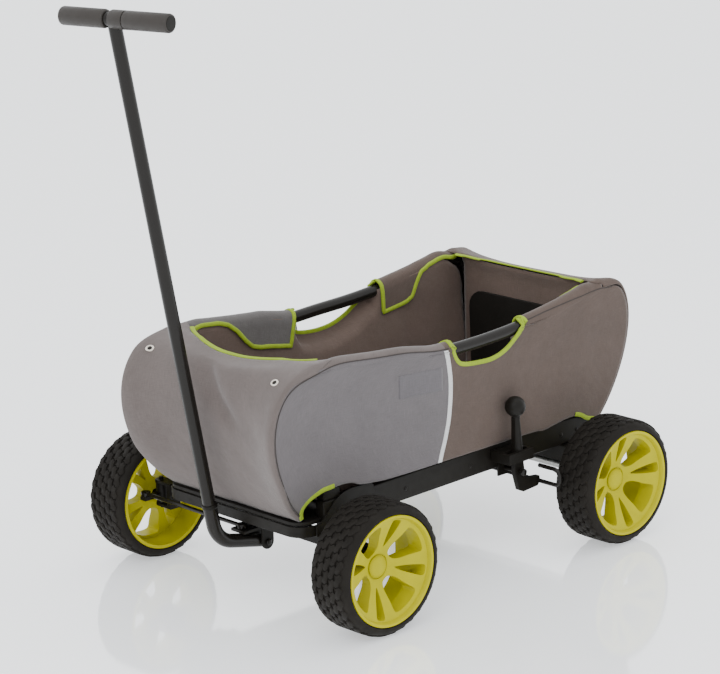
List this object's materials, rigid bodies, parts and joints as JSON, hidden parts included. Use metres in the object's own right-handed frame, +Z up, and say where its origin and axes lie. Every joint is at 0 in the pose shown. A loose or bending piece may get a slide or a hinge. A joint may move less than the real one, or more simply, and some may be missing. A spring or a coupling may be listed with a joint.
{
  "type": "kids pull wagon",
  "caption": "Child's pull wagon: open fabric tub on a steel chassis, spoked wheels on steering knuckles, tilting pull handle and a parking brake.",
  "frame": {"origin": "on the ground, under the middle of the whole object", "axes": "+Z up, -Y to the front where the handle is, +X to the wagon's own left, the brake lever's side"},
  "size_m": [0.6424, 1.0073, 1.0111],
  "materials": {
    "black_powder_coat": "satin",
    "zinc_steel": "bright zinc",
    "lime_plastic": "fine grain",
    "tyre_rubber": "matt moulded",
    "taupe_fabric": "plain woven",
    "grey_fabric": "plain woven",
    "black_foam": "closed-cell foam",
    "black_board": "fine grain",
    "black_nylon": "moulded"
  },
  "bodies": {
    "chassis_and_tub": {"side_rail_left": "black_powder_coat", "side_rail_right": "black_powder_coat", "corner_bracket_left": "black_powder_coat", "corner_bracket_right": "black_powder_coat", "front_bumper": "black_powder_coat", "rear_crossbar": "black_powder_coat", "floor_panel": "black_board", "floor_mat": "taupe_fabric", "front_axle_beam": "black_powder_coat", "rear_axle_beam": "black_powder_coat", "rear_axle": "zinc_steel", "top_tube_left": "black_powder_coat", "top_tube_right": "black_powder_coat", "post_socket_front_left": "black_nylon", "post_socket_front_right": "black_nylon", "post_socket_rear_left": "black_nylon", "post_socket_rear_right": "black_nylon", "corner_joint_left": "black_nylon", "corner_joint_right": "black_nylon", "front_cross_tube": "black_powder_coat", "rear_cross_tube": "black_powder_coat", "back_panel": "black_board", "cover_side_left": "taupe_fabric", "cover_side_right": "taupe_fabric", "cover_front": "grey_fabric", "cover_rear": "taupe_fabric", "eyelet_left": "zinc_steel", "eyelet_right": "zinc_steel", "brake_bracket_left": "black_powder_coat", "brake_bracket_right": "black_powder_coat"},
    "steering": {"steering_yoke": "black_powder_coat", "steering_pivot_bolt": "zinc_steel", "handle_pivot_pin": "zinc_steel"},
    "tie_rod_left_body": {"tie_rod_left": "black_powder_coat"},
    "tie_rod_right_body": {"tie_rod_right": "black_powder_coat"},
    "knuckle_left_body": {"knuckle_left": "zinc_steel"},
    "knuckle_right_body": {"knuckle_right": "zinc_steel"},
    "wheel_front_left": {"tyre_front_left": "tyre_rubber", "rim_front_left": "lime_plastic", "hub_cap_front_left": "lime_plastic"},
    "wheel_front_right": {"tyre_front_right": "tyre_rubber", "rim_front_right": "lime_plastic", "hub_cap_front_right": "lime_plastic"},
    "wheel_rear_left": {"tyre_rear_left": "tyre_rubber", "rim_rear_left": "lime_plastic", "hub_cap_rear_left": "lime_plastic"},
    "wheel_rear_right": {"tyre_rear_right": "tyre_rubber", "rim_rear_right": "lime_plastic", "hub_cap_rear_right": "lime_plastic"},
    "handle": {"handle_lower_tube": "black_powder_coat", "handle_tube": "black_powder_coat", "grip_left": "black_foam", "grip_right": "black_foam"},
    "button": {"snap_button": "zinc_steel"},
    "brake": {"brake_lever": "black_powder_coat", "brake_arm_right": "black_powder_coat", "brake_knob": "black_nylon", "brake_bar": "zinc_steel"}
  },
  "joints": [
    {"name": "steer", "type": "hinge", "parent": "chassis_and_tub", "child": "steering", "pos_m": [0, -0.2197, 0.119], "axis": [0, 0, 1], "range_deg": [-22, 22]},
    {"name": "knuckle_left_turn", "type": "hinge", "parent": "chassis_and_tub", "child": "knuckle_left_body", "pos_m": [0.25, -0.2197, 0.11], "axis": [0, 0, 1], "range_deg": [-22, 22]},
    {"name": "tie_rod_left_turn", "type": "hinge", "parent": "steering", "child": "tie_rod_left_body", "pos_m": [0, -0.1837, 0.122], "axis": [0, 0, 1], "range_deg": [-22, 22]},
    {"name": "knuckle_right_turn", "type": "hinge", "parent": "chassis_and_tub", "child": "knuckle_right_body", "pos_m": [-0.25, -0.2197, 0.11], "axis": [0, 0, 1], "range_deg": [-22, 22]},
    {"name": "tie_rod_right_turn", "type": "hinge", "parent": "steering", "child": "tie_rod_right_body", "pos_m": [0, -0.2557, 0.122], "axis": [0, 0, 1], "range_deg": [-22, 22]},
    {"name": "wheel_front_left_spin", "type": "hinge", "parent": "knuckle_left_body", "child": "wheel_front_left", "pos_m": [0.279, -0.2197, 0.11], "axis": [1, 0, 0], "continuous": true},
    {"name": "wheel_front_right_spin", "type": "hinge", "parent": "knuckle_right_body", "child": "wheel_front_right", "pos_m": [-0.279, -0.2197, 0.11], "axis": [1, 0, 0], "continuous": true},
    {"name": "wheel_rear_left_spin", "type": "hinge", "parent": "chassis_and_tub", "child": "wheel_rear_left", "pos_m": [0.279, 0.3568, 0.11], "axis": [1, 0, 0], "continuous": true},
    {"name": "wheel_rear_right_spin", "type": "hinge", "parent": "chassis_and_tub", "child": "wheel_rear_right", "pos_m": [-0.279, 0.3568, 0.11], "axis": [1, 0, 0], "continuous": true},
    {"name": "handle_tilt", "type": "hinge", "parent": "steering", "child": "handle", "pos_m": [0, -0.2137, 0.0865], "axis": [1, 0, 0], "range_deg": [0, 52]},
    {"name": "button_push", "type": "slide", "parent": "handle", "child": "button", "axis": [1, 0, 0], "range_m": [0, 0.003], "stiffness_N_per_m": 400},
    {"name": "brake_turn", "type": "hinge", "parent": "chassis_and_tub", "child": "brake", "pos_m": [0, 0.1923, 0.15], "axis": [1, 0, 0], "range_deg": [0, 15]}
  ],
  "couplings": [
    {"joint": "knuckle_left_turn", "follows": "steer", "ratio": 1},
    {"joint": "knuckle_right_turn", "follows": "steer", "ratio": 1},
    {"joint": "tie_rod_left_turn", "follows": "steer", "ratio": -1},
    {"joint": "tie_rod_right_turn", "follows": "steer", "ratio": -1}
  ]
}
